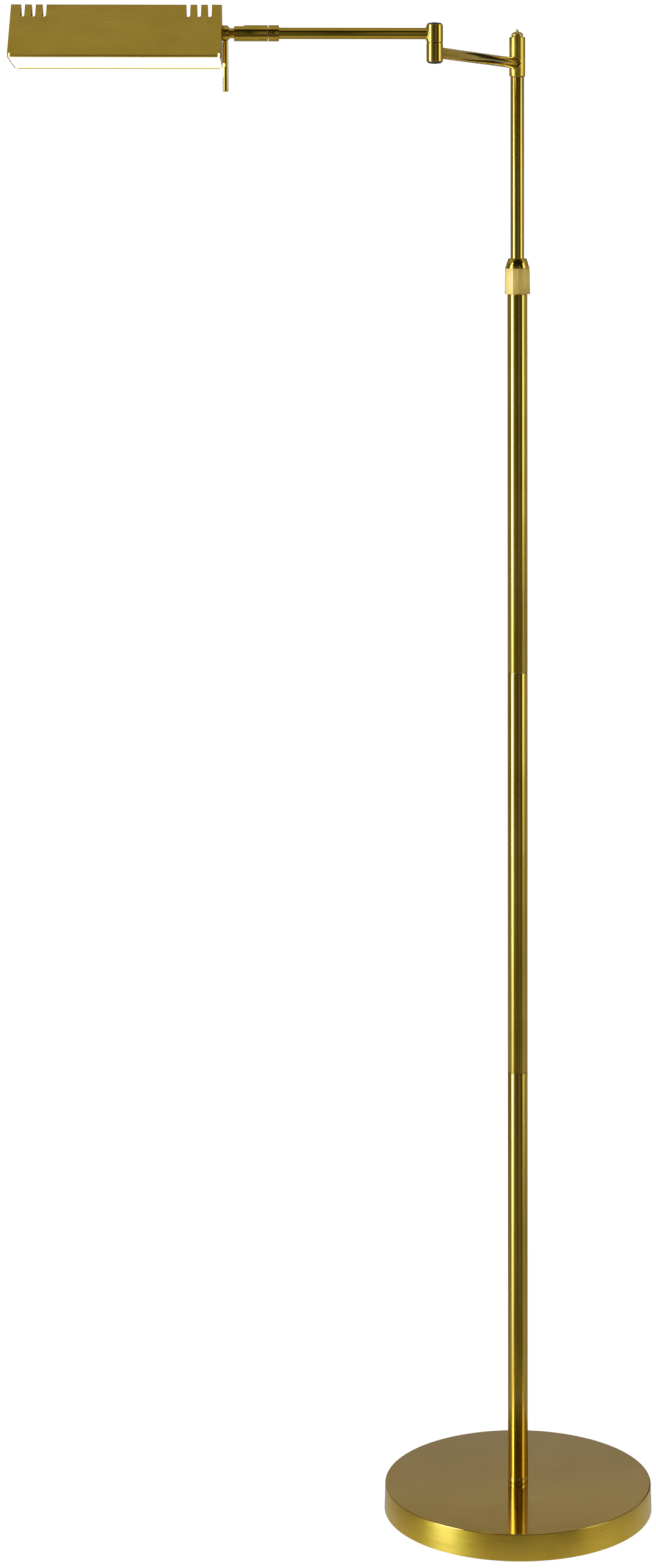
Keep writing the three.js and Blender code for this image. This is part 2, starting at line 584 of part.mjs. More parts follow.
place(outerArm, 'swivel_flange',
  lying(bevelledSleeve(SHAFT.endRadius + SLIP, FLANGE.radius, FLANGE.from, FLANGE.to, 0.2), 24), antiqueBrass);
place(head, 'head_knuckle', headKnuckle(), antiqueBrass);
place(head, 'knuckle_lock_ring',
  lying(sleeve(KNUCKLE.spigot + SLIP, LOCK_RING, insideFrom, KNUCKLE.end), HIDDEN), zincSteel);
place(head, 'handle_rod', handleRod(), antiqueBrass);
place(head, 'shade', shade(), antiqueBrass);
const shaftOpening = lying(rod(KNUCKLE.spigot + SLIP, HEAD.from - 2, HEAD.from + 4), HIDDEN);
place(head, 'end_plate_right', cut(endPlate(HEAD.from), shaftOpening), antiqueBrass);
place(head, 'end_plate_left', endPlate(HEAD.from + HEAD.length - SHEET.thickness), antiqueBrass);
place(head, 'led_tray', ledTray(), aluminium);
place(head, 'led_board', ledBoard(), boardMask);
SCREWS.forEach((x, i) => place(head, `board_screw_${i + 1}`, boardScrew(x), zincSteel));
place(head, 'diffuser', diffuser(), opalAcrylic);

export default lamp;
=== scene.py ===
"""Looks of a swing-arm floor lamp in lacquered antique brass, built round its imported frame.

The frame is in metres, +Z up, with the lamp's front towards -Y. Sizes here are in millimetres.
"""
import json
import math

import bpy
from mathutils import Matrix, Vector


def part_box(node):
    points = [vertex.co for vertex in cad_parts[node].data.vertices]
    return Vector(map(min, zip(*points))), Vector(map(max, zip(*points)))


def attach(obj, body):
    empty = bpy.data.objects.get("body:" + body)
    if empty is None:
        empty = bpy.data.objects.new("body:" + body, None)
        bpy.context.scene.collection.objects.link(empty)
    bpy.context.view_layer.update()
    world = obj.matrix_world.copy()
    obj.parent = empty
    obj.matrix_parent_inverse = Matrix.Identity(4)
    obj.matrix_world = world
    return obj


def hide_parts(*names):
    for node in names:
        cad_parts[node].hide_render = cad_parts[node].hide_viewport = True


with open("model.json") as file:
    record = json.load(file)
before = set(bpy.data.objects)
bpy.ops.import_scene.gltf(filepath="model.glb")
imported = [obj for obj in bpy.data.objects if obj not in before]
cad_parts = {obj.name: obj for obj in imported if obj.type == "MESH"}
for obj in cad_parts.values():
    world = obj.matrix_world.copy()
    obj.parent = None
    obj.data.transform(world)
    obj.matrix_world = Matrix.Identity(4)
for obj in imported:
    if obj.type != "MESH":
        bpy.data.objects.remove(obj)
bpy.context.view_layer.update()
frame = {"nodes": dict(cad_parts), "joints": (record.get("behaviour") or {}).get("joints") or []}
MM = 0.001

# ---- Camera --------------------------------------------------------------------------------
# A long lens three metres in front of the pole, at chest height and almost level. The lamp is
# framed by shifting the lens down and to the left, which keeps its uprights upright.
bpy.ops.object.select_all(action="DESELECT")
bpy.ops.object.camera_add(
    location=(-0.0617, -2.9889, 1.2182),
    rotation=(math.radians(88.5), math.radians(0.057), 0),
)
camera = bpy.context.object
camera.data.lens = 72.8
camera.data.shift_x = -0.0789
camera.data.shift_y = -0.3024
bpy.context.scene.camera = camera

# ---- Base cover ----------------------------------------------------------------------------
# The cover is a spun brass shell with a slightly drawn-in wall and a tight rolled top edge. Its
# top is polished nearly to a mirror, the wall is brushed round, and both are lacquered.
BASE_SHEET = 1.5
BASE_EDGE = 1.0
BASE_HOLE = 5.1
WALL_DRAW = 0.8
TOP_TILT = 0.15


def measured(node, place=Matrix()):
    """A CAD node's radius, lowest and highest point about the +Z of a place, in millimetres."""
    back = place.inverted()
    points = [back @ vertex.co / MM for vertex in frame["nodes"][node].data.vertices]
    heights = [point.z for point in points]
    return max(math.hypot(point.x, point.y) for point in points), min(heights), max(heights)


def arc(centre, radius, start, end, parts=6):
    """Points along a part circle, for an outline; angles in degrees from the outward direction."""
    angles = [math.radians(start + (end - start) * i / parts) for i in range(parts + 1)]
    return [(centre[0] + radius * math.cos(a), centre[1] + radius * math.sin(a)) for a in angles]


def draw(name, points):
    """Starts a mesh from one vertex and extrudes it from point to point; leaves it in edit mode."""
    bpy.ops.object.select_all(action="DESELECT")
    bpy.ops.mesh.primitive_plane_add(size=MM)
    piece = bpy.context.object
    piece.name = piece.data.name = name
    bpy.ops.object.mode_set(mode="EDIT")
    bpy.ops.mesh.select_mode(type="VERT")
    bpy.ops.mesh.merge(type="CENTER")
    bpy.ops.transform.translate(value=Vector(points[0]) * MM)
    for here, there in zip(points, points[1:]):
        step = (Vector(there) - Vector(here)) * MM
        bpy.ops.mesh.extrude_region_move(TRANSFORM_OT_translate={"value": step})
    bpy.ops.mesh.select_all(action="SELECT")
    return piece


def close_up():
    """Merges the doubles of the mesh in edit mode, turns its faces outwards and leaves edit mode."""
    bpy.ops.mesh.select_all(action="SELECT")
    bpy.ops.mesh.remove_doubles(threshold=1e-6)
    bpy.ops.mesh.normals_make_consistent(inside=False)
    bpy.ops.object.mode_set(mode="OBJECT")


def soften(piece, width, segments=2, angle=30):
    """Bevels a piece's sharp edges by a width in millimetres and shades it smooth up to them."""
    if width:
        bevel = piece.modifiers.new("edges", "BEVEL")
        bevel.width = width * MM
        bevel.segments = segments
        bevel.limit_method = "ANGLE"
        bevel.angle_limit = math.radians(angle)
        bpy.ops.object.modifier_apply(modifier=bevel.name)
    bpy.ops.object.shade_smooth_by_angle(angle=math.radians(angle))


def turn(name, outline, place=Matrix(), steps=64, bevel=0.25):
    """Turns an outline of (radius, height) pairs about +Z, as on a lathe, and puts it in place."""
    piece = draw(name, [(r, 0, z) for r, z in outline + outline[:1]])
    bpy.ops.mesh.spin(steps=steps, angle=math.tau, center=(0, 0, 0), axis=(0, 0, 1))
    close_up()
    soften(piece, bevel)
    settle(piece, place)
    return piece


def settle(piece, place):
    """Moves a piece's mesh to its place and leaves the object at the origin, unturned."""
    piece.matrix_world = place
    bpy.ops.object.transform_apply(location=True, rotation=True, scale=True)


def fit(piece, body, material, *nodes):
    """Gives a piece its material, rides it on its body and lets it stand for CAD nodes."""
    piece.data.materials.clear()
    piece.data.materials.append(material)
    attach(piece, body)
    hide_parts(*nodes)


def linear(colour):
    """Turns an sRGB hex colour into the linear RGBA that a shader takes."""
    shares = [int(colour[i : i + 2], 16) / 255 for i in (1, 3, 5)]
    return (*[s / 12.92 if s <= 0.04045 else ((s + 0.055) / 1.055) ** 2.4 for s in shares], 1)


def add(tree, kind, inputs=None, **settings):
    """Adds a shader node, sets its properties and fills or links its inputs."""
    made = tree.nodes.new(kind)
    for name, value in settings.items():
        setattr(made, name, value)
    for name, value in (inputs or {}).items():
        if isinstance(value, bpy.types.NodeSocket):
            tree.links.new(value, made.inputs[name])
        else:
            made.inputs[name].default_value = value
    return made


def new_material(name):
    """A fresh material's node tree, with only its Principled BSDF and output in it."""
    material = bpy.data.materials.new(name)
    material.use_nodes = True
    return material, material.node_tree, material.node_tree.nodes["Principled BSDF"]


def grain(tree, size, turned=(0, 0, 0), detail=3.0, roughness=0.6):
    """Noise whose grains have a real size in millimetres, along a piece's own turned axes."""
    place = add(tree, "ShaderNodeTexCoord").outputs["Object"]
    laid = add(tree, "ShaderNodeMapping", {
        "Vector": place, "Rotation": turned, "Scale": [side * MM for side in size],
    }, vector_type="TEXTURE")
    noise = add(tree, "ShaderNodeTexNoise", {
        "Vector": laid.outputs["Vector"], "Scale": 1.0, "Detail": detail, "Roughness": roughness,
    })
    return noise.outputs["Fac"]


# Antique brass: copper-rich plate toned brown-gold, brushed and clear lacquered. The eye gets
# warm dark reflections that are drawn out across the brushing, fine lines along it and cloudy
# patches where the toning was wiped unevenly. The lacquer adds a thin, sharper, uncoloured gloss.
BRASS_LIGHT = "#E6C249"
BRASS_DEEP = "#DAB63C"


def lacquered_brass(name, polish, lines, axis=(0, 0, 1), drawn=0.0, across=False, turned=(0, 0, 0),
                    contrast=0.06, cloud=40, lacquer=0.5, tones=(BRASS_DEEP, BRASS_LIGHT)):
    """Brass with a roughness and brushed lines of a size in millimetres.

    Reflections are drawn out along the piece's axis, or across it, by a share of the roughness.
    """
    material, tree, shader = new_material(name)
    clouds = grain(tree, (cloud, cloud, cloud), detail=2.0)
    tone = add(tree, "ShaderNodeValToRGB", {"Fac": clouds})
    tone.color_ramp.elements[0].position = 0.3
    tone.color_ramp.elements[0].color = linear(tones[0])
    tone.color_ramp.elements[1].position = 0.7
    tone.color_ramp.elements[1].color = linear(tones[1])
    brushing = grain(tree, lines, turned, detail=4.0)
    sheen = add(tree, "ShaderNodeMapRange", {
        "Value": brushing, "From Min": 0.3, "From Max": 0.7, "To Min": polish * 0.8, "To Max": polish * 1.2,
    })
    shade = add(tree, "ShaderNodeMapRange", {
        "Value": brushing, "From Min": 0.3, "From Max": 0.7, "To Min": 1 - contrast, "To Max": 1 + contrast,
    })
    toned = add(tree, "ShaderNodeVectorMath", {0: tone.outputs["Color"], "Scale": shade.outputs["Result"]},
                operation="SCALE")
    relief = add(tree, "ShaderNodeBump", {"Height": brushing, "Strength": contrast, "Distance": 0.03 * MM})
    tree.links.new(toned.outputs["Vector"], shader.inputs["Base Color"])
    tree.links.new(sheen.outputs["Result"], shader.inputs["Roughness"])
    tree.links.new(relief.outputs["Normal"], shader.inputs["Normal"])
    if drawn:
        facing = add(tree, "ShaderNodeTexCoord").outputs["Normal"]
        around = add(tree, "ShaderNodeVectorMath", {0: facing, 1: axis}, operation="CROSS_PRODUCT")
        tangent = add(tree, "ShaderNodeVectorTransform", {"Vector": around.outputs["Vector"]},
                      vector_type="VECTOR", convert_from="OBJECT", convert_to="WORLD")
        tree.links.new(tangent.outputs["Vector"], shader.inputs["Tangent"])
        shader.inputs["Anisotropic"].default_value = drawn
        shader.inputs["Anisotropic Rotation"].default_value = 0.0 if across else 0.25
    shader.inputs["Metallic"].default_value = 1.0
    shader.inputs["Coat Weight"].default_value = lacquer
    shader.inputs["Coat Roughness"].default_value = 0.06
    return material


# The top is buffed to a darker, even mirror. The wall's lines run round it, so its highlights stand
# up and fade sideways.
mirror_brass = lacquered_brass("polished lacquered brass", 0.09, (0.6, 0.6, 0.6), contrast=0.07, cloud=70,
                               lacquer=0.2, tones=("#C9A446", "#D3AE52"))
spun_brass = lacquered_brass("spun brushed brass", 0.36, (30, 30, 0.5), drawn=0.8, contrast=0.1,
                             lacquer=0.12)

base_radius, base_bottom, base_top = measured("base_cover")
wall_top = base_radius - WALL_DRAW
base_shell = turn("base_shell", [
    (BASE_HOLE, base_top), (BASE_HOLE, base_top - BASE_SHEET),
    (wall_top - BASE_SHEET - 1, base_top - BASE_SHEET), (base_radius - BASE_SHEET, base_bottom),
    (base_radius, base_bottom), (wall_top, base_top - BASE_EDGE),
    *arc((wall_top - BASE_EDGE, base_top - BASE_EDGE), BASE_EDGE, 0, 90),
], steps=160, bevel=0)
fit(base_shell, "stand", spun_brass, "base_cover")
base_shell.data.materials.append(mirror_brass)
for face in base_shell.data.polygons:
    face.material_index = 1 if face.normal.z > TOP_TILT else 0

# ---- Inside and under the base -------------------------------------------------------------
# A cast-iron disc keeps the lamp upright and rests on a foam pad. The pole's hollow stud comes
# down through it and is held by a washer and a nut. A moulded bush lines the lead's inlet.


def dress(material, *nodes):
    """Gives CAD nodes that stay as they are a better material."""
    for node in nodes:
        frame["nodes"][node].data.materials.clear()
        frame["nodes"][node].data.materials.append(material)


def plain_stock(name, colours, size, gloss, metal=0.0, relief=0.2, turned=(0, 0, 0)):
    """A stock material: two colours mixed by a grain of a real size, and a relief of the same."""
    material, tree, shader = new_material(name)
    spots = grain(tree, size, turned)
    mix = add(tree, "ShaderNodeValToRGB", {"Fac": spots})
    mix.color_ramp.elements[0].position = 0.35
    mix.color_ramp.elements[0].color = linear(colours[0])
    mix.color_ramp.elements[1].position = 0.65
    mix.color_ramp.elements[1].color = linear(colours[1])
    bump = add(tree, "ShaderNodeBump", {"Height": spots, "Strength": relief, "Distance": 0.2 * MM})
    rough = add(tree, "ShaderNodeMapRange", {
        "Value": spots, "To Min": max(gloss - 0.08, 0.02), "To Max": gloss + 0.08,
    })
    tree.links.new(mix.outputs["Color"], shader.inputs["Base Color"])
    tree.links.new(rough.outputs["Result"], shader.inputs["Roughness"])
    tree.links.new(bump.outputs["Normal"], shader.inputs["Normal"])
    shader.inputs["Metallic"].default_value = metal
    return material


# Rough grey-black iron and foam, bluish plating with drawn lines, and smooth dark or milky plastics.
cast_iron = plain_stock("sand-cast iron", ("#2C2B29", "#45433F"), (1.5, 1.5, 1.5), 0.75, 0.8, 0.6)
eva_foam = plain_stock("closed-cell EVA foam", ("#1B1A18", "#2A2825"), (0.8, 0.8, 0.8), 0.85, 0.0, 0.5)
zinc = plain_stock("zinc-plated steel", ("#9C9EA1", "#BFC2C5"), (6, 6, 1.2), 0.32, 1.0, 0.1)
pvc = plain_stock("extruded PVC lead jacket", ("#1D1B19", "#282522"), (3, 3, 3), 0.45, 0.0, 0.1)
abs_black = plain_stock("moulded black ABS", ("#161514", "#1F1E1D"), (0.5, 0.5, 0.5), 0.38, 0.0, 0.15)
nylon = plain_stock("turned natural nylon", ("#DEDBD0", "#ECEAE2"), (4, 4, 0.5), 0.4, 0.0, 0.1)
dress(cast_iron, "base_weight")
dress(eva_foam, "base_pad")
dress(zinc, "foot_stud", "base_washer", "base_nut", "foot_plug", "joiner_lower", "joiner_upper")
dress(pvc, "base_lead", "pole_lead")
dress(nylon, "collet")

BUSH_FLANGE = 5.6
BUSH_NECK = 4.1
BUSH_BORE = 2.4
BUSH_WALL = 4.2
BUSH_LIP = 5.0
bush_low, bush_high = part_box("cord_bush")
bush_place = Matrix.Translation((0, bush_low.y, (bush_low.z + bush_high.z) / 2)) @ Matrix.Rotation(
    math.radians(-90), 4, "X")
bush_length = (bush_high.y - bush_low.y) / MM
inlet_bush = turn("inlet_bush", [
    (BUSH_BORE, 0), (BUSH_NECK, 0), (BUSH_NECK, BUSH_WALL), (BUSH_FLANGE, BUSH_WALL),
    (BUSH_FLANGE, BUSH_LIP), (BUSH_BORE + 1.2, bush_length), (BUSH_BORE, bush_length - 0.4),
], bush_place, steps=40, bevel=0.2)
fit(inlet_bush, "stand", abs_black, "cord_bush")

# ---- Pole ----------------------------------------------------------------------------------
# Three drawn brass tubes screwed end to end over inside joiners, on a short turned ring. They
# are polished on the spin before they are joined, and a fine bright line shows at each seam.
POLE_WALL = 1.2
RING_WALL = 4
# Polishing lines run round it, too fine to show one by one, and draw reflections out along the
# tube. The faint streaks lengthwise are where it was wiped.
pole_brass = lacquered_brass("polished pole brass", 0.24, (0.8, 0.8, 90), drawn=0.9, contrast=0.1)


def tube(name, node, body, material, place=Matrix(), wall=POLE_WALL, steps=72):
    """A drawn tube with small bevels at its ends, which stands for a CAD tube."""
    outer, low, high = measured(node, place)
    piece = turn(name, [(outer - wall, low), (outer, low), (outer, high), (outer - wall, high)],
                 place, steps, bevel=0.2)
    fit(piece, body, material, node)
    return piece


tube("foot_collar", "foot_ring", "stand", pole_brass, wall=RING_WALL)
tube("pole_tube_1", "pole_lower", "stand", pole_brass)
tube("pole_tube_2", "pole_middle", "stand", pole_brass)
tube("pole_tube_3", "pole_upper", "stand", pole_brass)
dress(pole_brass, "pole_top_fitting")

# ---- Clamp collar --------------------------------------------------------------------------
# An octagonal grip of solid brass, satin finished along its length and a little wider at its
# foot, under a turned and polished cone. Unscrewing it frees the mast.
GRIP_FLARE = 0.965
GRIP_WALL = 2.4
GRIP_TURN = 1.6
CONE_TOP_RADIUS = 8.75
CONE_BORE = 6.8
# Satin bar brass is paler and duller than the tubes, with lengthwise scratches that show.
satin_brass = lacquered_brass("satin bar brass", 0.52, (0.7, 0.7, 25), drawn=0.6, across=True,
                              contrast=0.15, lacquer=0.1, tones=("#D0AC52", "#DFC06C"))


def pick_faces(piece, wanted):
    """Enters edit mode with only the faces selected that pass a test."""
    bpy.ops.object.mode_set(mode="EDIT")
    bpy.ops.mesh.select_mode(type="FACE")
    bpy.ops.mesh.select_all(action="DESELECT")
    bpy.ops.object.mode_set(mode="OBJECT")
    for face in piece.data.polygons:
        face.select = wanted(face)
    bpy.ops.object.mode_set(mode="EDIT")


grip_corner, grip_bottom, grip_top = measured("collar_grip")
bpy.ops.object.select_all(action="DESELECT")
bpy.ops.mesh.primitive_cylinder_add(
    vertices=8, radius=grip_corner * MM, depth=(grip_top - grip_bottom) * MM, end_fill_type="NGON",
    location=(0, 0, (grip_top + grip_bottom) / 2 * MM), rotation=(0, 0, math.radians(22.5 + GRIP_TURN)),
)
octagon_grip = bpy.context.object
octagon_grip.name = octagon_grip.data.name = "octagon_grip"
bpy.ops.object.transform_apply(location=True, rotation=True, scale=True)
pick_faces(octagon_grip, lambda face: face.normal.z > 0.9)
bpy.ops.transform.resize(value=(GRIP_FLARE, GRIP_FLARE, 1))
pick_faces(octagon_grip, lambda face: abs(face.normal.z) > 0.9)
bpy.ops.mesh.inset(thickness=GRIP_WALL * MM)
bpy.ops.mesh.bridge_edge_loops()
close_up()
soften(octagon_grip, 0.3)
fit(octagon_grip, "clamp_collar", satin_brass, "collar_grip")

cone_radius, cone_bottom, cone_top = measured("collar_cone")
polished_cone = turn("polished_cone", [
    (CONE_BORE, cone_bottom), (cone_radius, cone_bottom), (cone_radius, cone_bottom + 0.8),
    (CONE_TOP_RADIUS, cone_top - 0.3), (CONE_TOP_RADIUS - 0.5, cone_top), (CONE_BORE, cone_top),
], bevel=0.15)
# The cone is left bright from the lathe, with faint turning lines.
cone_brass = lacquered_brass("turned cone brass", 0.1, (20, 20, 0.6), contrast=0.08, lacquer=0.1)
fit(polished_cone, "clamp_collar", cone_brass, "collar_cone")

# ---- Mast ----------------------------------------------------------------------------------
# A thinner drawn tube that slides in the pole on a nylon bush, with a turned spindle in its top.
mast_brass = lacquered_brass("polished mast brass", 0.22, (0.7, 0.7, 80), drawn=0.9, contrast=0.1)
tube("mast_sleeve", "mast_tube", "mast", mast_brass)
dress(nylon, "mast_guide")
# A nylon washer coloured dark brown as painted shade, so the shaded joint under the hub reads as a thin
# brown line.
nylon_in_painted_shade = plain_stock("nylon coloured as painted shade", ("#6E5522", "#7D622B"), (3, 3, 0.5), 0.4, 0.0, 0.1)
dress(nylon_in_painted_shade, "hub_washer")
dress(zinc, "hub_pivot")
dress(pvc, "mast_lead")

# ---- Finial --------------------------------------------------------------------------------
# A thin turned band and a small dome that ends in a ball, screwed on the spindle over the hub.
BAND_BORE = 2.4
band_radius, band_bottom, band_top = measured("finial_washer")
finial_band = turn("finial_band", [
    (BAND_BORE, band_bottom), (band_radius, band_bottom), (band_radius, band_top), (BAND_BORE, band_top),
], bevel=0.3)
fit(finial_band, "mast", mast_brass, "finial_washer")

dome_radius, dome_bottom, finial_top = measured("finial_cap")
BALL = 1.4
DOME_RISE = 3.6
STUB_HOLE = 2.3
dome_curve = [
    (dome_radius * math.cos(math.radians(a)), dome_bottom + 0.3 + DOME_RISE * math.sin(math.radians(a)))
    for a in range(0, 76, 5)
]
finial_dome = turn("finial_dome", [
    (0, dome_bottom + 2), (STUB_HOLE, dome_bottom + 2), (STUB_HOLE, dome_bottom),
    (dome_radius, dome_bottom), *dome_curve, *arc((0, finial_top - BALL), BALL, -20, 90, 10),
], steps=56, bevel=0)
# Pale and satin, like the collar's grip, with faint turning lines.
dome_brass = lacquered_brass("satin turned brass", 0.4, (12, 12, 0.5), contrast=0.1, lacquer=0.15,
                             tones=("#DDBC5E", "#EBCF7A"))
fit(finial_dome, "mast", dome_brass, "finial_cap")

# ---- Inner arm -----------------------------------------------------------------------------
# A drawn tube brazed into the swinging hub at one end and into the elbow's lower barrel at the
# other. The brazing leaves a bright uneven bead round each joint.
joints = {joint["name"]: joint for joint in frame["joints"]}
elbow = Vector(joints["outer_arm_swing"]["pos_m"])
inner_height = joints["inner_arm_swing"]["pos_m"][2]
inner_turn = math.atan2(elbow.y, elbow.x)
ALONG_X = Matrix.Rotation(math.radians(90), 4, "Y")
inner_frame = Matrix.Translation((0, 0, inner_height)) @ Matrix.Rotation(inner_turn, 4, "Z")
arm_length = math.hypot(elbow.x, elbow.y) / MM
ARM_WALL = 1.2
HUB_ROUND = 0.9
BARREL_ROUND = 0.7


def arm_brass(name, polish, turn_z, drawn):
    """Tube brass polished on the spin, for a piece that lies along an arm."""
    axis = (math.cos(turn_z), math.sin(turn_z), 0)
    return lacquered_brass(name, polish, (60, 0.7, 0.7), axis, drawn, turned=(0, 0, turn_z),
                           lacquer=0.1)


inner_brass = arm_brass("inner arm tube brass", 0.13, inner_turn, 0.5)
barrel_brass = lacquered_brass("turned barrel brass", 0.14, (0.8, 0.8, 60), drawn=0.5, lacquer=0.15)
tube("inner_tube", "inner_arm_tube", "inner_arm", inner_brass, inner_frame @ ALONG_X, ARM_WALL)

hub_radius, hub_bottom, hub_top = measured("swing_hub")
HUB_BORE = 4.75
hub_barrel = turn("hub_barrel", [
    (HUB_BORE, hub_bottom), (hub_radius - HUB_ROUND, hub_bottom),
    *arc((hub_radius - HUB_ROUND, hub_bottom + HUB_ROUND), HUB_ROUND, -90, 0),
    *arc((hub_radius - HUB_ROUND, hub_top - HUB_ROUND), HUB_ROUND, 0, 90),
    (HUB_BORE, hub_top),
], bevel=0)
# The hub is dressed by hand after brazing, which leaves soft, uneven light on it.
hub_brass = lacquered_brass("hand-finished hub brass", 0.28, (2.5, 2.5, 12), contrast=0.22, cloud=6,
                            lacquer=0.1)
fit(hub_barrel, "inner_arm", hub_brass, "swing_hub")


def barrel(name, node, body, place, up, bore=4.1):
    """One turned barrel of the elbow, rounded at its open end, which is its upper or lower one."""
    outer, low, high = measured(node, place)
    flat, end = (low, high) if up > 0 else (high, low)
    corner = arc((outer - BARREL_ROUND, 0), BARREL_ROUND, 0, 90)
    piece = turn(name, [
        (bore, flat), (outer - 0.35, flat), (outer, flat + 0.35 * up),
        *[(r, end + up * (rise - BARREL_ROUND)) for r, rise in corner], (bore, end),
    ], place, bevel=0)
    fit(piece, body, barrel_brass, node)
    return piece


def braze(name, body, arm_frame, centre, barrel_radius, side, tube_radius=5.1, bead=0.55):
    """A bead of brazing where an arm tube runs into a barrel, along the line where they meet."""
    points = 48
    bpy.ops.object.select_all(action="DESELECT")
    bpy.ops.curve.primitive_bezier_circle_add(radius=tube_radius * MM)
    piece = bpy.context.object
    piece.name = piece.data.name = name
    spline = piece.data.splines.new("POLY")
    piece.data.splines.remove(piece.data.splines[0])
    spline.points.add(points - 1)
    spline.use_cyclic_u = True
    for i, point in enumerate(spline.points):
        angle = math.tau * i / points
        y = tube_radius * math.cos(angle)
        z = tube_radius * math.sin(angle)
        x = centre + side * math.sqrt(barrel_radius**2 - y**2)
        point.co = (x * MM, y * MM, z * MM, 1)
        point.radius = 1 + 0.18 * math.sin(5 * angle) + 0.12 * math.sin(11 * angle + 1)
    piece.data.bevel_depth = bead * MM
    piece.data.bevel_resolution = 3
    bpy.ops.object.convert(target="MESH")
    piece = bpy.context.object
    bpy.ops.object.shade_smooth()
    settle(piece, arm_frame)
    piece.data.materials.clear()
    piece.data.materials.append(bead_brass)
    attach(piece, body)
    return piece


# Brazing metal that ran and was wiped: bright, with small dark patches.
bead_brass = lacquered_brass("brazed bead brass", 0.12, (1.5, 1.5, 1.5), contrast=0.2)
elbow_place = Matrix.Translation((elbow.x, elbow.y, 0))
barrel("elbow_barrel_1", "elbow_barrel_lower", "inner_arm", elbow_place, -1)
barrel_radius = measured("elbow_barrel_lower", elbow_place)[0]
braze("hub_bead", "inner_arm", inner_frame, 0, hub_radius, 1, bead=1.0)
braze("elbow_bead_1", "inner_arm", inner_frame, arm_length, barrel_radius, -1, bead=0.6)
dress(zinc, "elbow_pin")
dress(pvc, "inner_arm_lead")


def dome_cap(name, node, body, up):
    """A moulded cap with a shallow dome, pressed into a barrel's open end."""
    rim, low, high = measured(node, elbow_place)
    flat, crown = (low, high) if up > 0 else (high, low)
    rise = abs(crown - flat)
    side = 0.35
    curve = [
        (rim * math.sin(math.radians(a)), flat + up * (side + (rise - side) * math.cos(math.radians(a))))
        for a in range(90, -1, -10)
    ]
    piece = turn(name, [(0, flat), (rim, flat), *curve], elbow_place, steps=56, bevel=0)
    fit(piece, body, abs_black, node)
    return piece


dome_cap("elbow_plug_1", "elbow_cap_lower", "inner_arm", -1)

# ---- Outer arm -----------------------------------------------------------------------------
# The elbow's upper barrel turns on a black washer. From it a drawn tube runs to a turned end
# ring, and a hollow shaft goes on through the dimmer to carry the head.
head_joint = joints["head_tilt"]
arm_line = Vector(head_joint["axis"])
outer_turn = math.atan2(arm_line.y, arm_line.x)
outer_frame = Matrix.Translation(head_joint["pos_m"]) @ Matrix.Rotation(outer_turn, 4, "Z")
outer_lathe = outer_frame @ ALONG_X
outer_brass = arm_brass("outer arm tube brass", 0.13, outer_turn, 0.6)
fitting_brass = arm_brass("turned arm fitting brass", 0.08, outer_turn, 0.3)

barrel("elbow_barrel_2", "elbow_barrel_upper", "outer_arm", elbow_place, 1)
dome_cap("elbow_plug_2", "elbow_cap_upper", "outer_arm", 1)
braze("elbow_bead_2", "outer_arm", outer_frame, 0, barrel_radius, 1, bead=0.7)
tube("outer_tube", "outer_arm_tube", "outer_arm", outer_brass, outer_lathe, ARM_WALL)
dress(abs_black, "elbow_washer", "dimmer_pot")
dress(pvc, "outer_arm_lead")
dress(zinc, "spring_washer", "swivel_nut")

ring_radius, ring_from, ring_to = measured("arm_end_ring", outer_lathe)
RING_BORE = 4.6
RING_SOCKET = 5.2
end_ring = turn("end_ring", [
    (RING_BORE, ring_from + 5), (RING_SOCKET, ring_from + 5), (RING_SOCKET, ring_from),
    (ring_radius, ring_from), (ring_radius, ring_to), (RING_BORE, ring_to),
], outer_lathe, bevel=0.4)
fit(end_ring, "outer_arm", fitting_brass, "arm_end_ring")

shaft_radius, shaft_from, shaft_to = measured("swivel_shaft", outer_lathe)
shaft_shoulder = measured("swivel_flange", outer_lathe)[1] - 0.3
SHAFT_BORE = 2.2
SHAFT_THREAD = 3.5
shaft = turn("neck_shaft", [
    (SHAFT_BORE, shaft_from), (shaft_radius, shaft_from), (shaft_radius, shaft_shoulder),
    (SHAFT_THREAD, shaft_shoulder), (SHAFT_THREAD, shaft_to), (SHAFT_BORE, shaft_to),
], outer_lathe, steps=48, bevel=0.15)
fit(shaft, "outer_arm", fitting_brass, "swivel_shaft")

# ---- Dimmer --------------------------------------------------------------------------------
# A turned barrel that rolls round the shaft to dim the light. A flat milled on its end shows the
# thumb how far it is turned.
FLAT_LENGTH = 7.9
FLAT_DEPTH = 1.1
FLAT_RAMP = 2.1
KNOB_BORE = 6.1
KNOB_NECK = 4.65
KNOB_END = 3


def slab(name, outline, depth):
    """A solid pushed out from a flat outline, both in millimetres."""
    piece = draw(name, outline)
    bpy.ops.mesh.edge_face_add()
    bpy.ops.mesh.extrude_region_move(TRANSFORM_OT_translate={"value": Vector(depth) * MM})
    close_up()
    return piece


def carve(piece, cutter):
    """Cuts one piece away from another and deletes the cutter."""
    bpy.ops.object.select_all(action="DESELECT")
    bpy.context.view_layer.objects.active = piece
    piece.select_set(True)
    cut = piece.modifiers.new("cut", "BOOLEAN")
    cut.object = cutter
    cut.solver = "EXACT"
    bpy.ops.object.modifier_apply(modifier=cut.name)
    bpy.data.objects.remove(cutter)


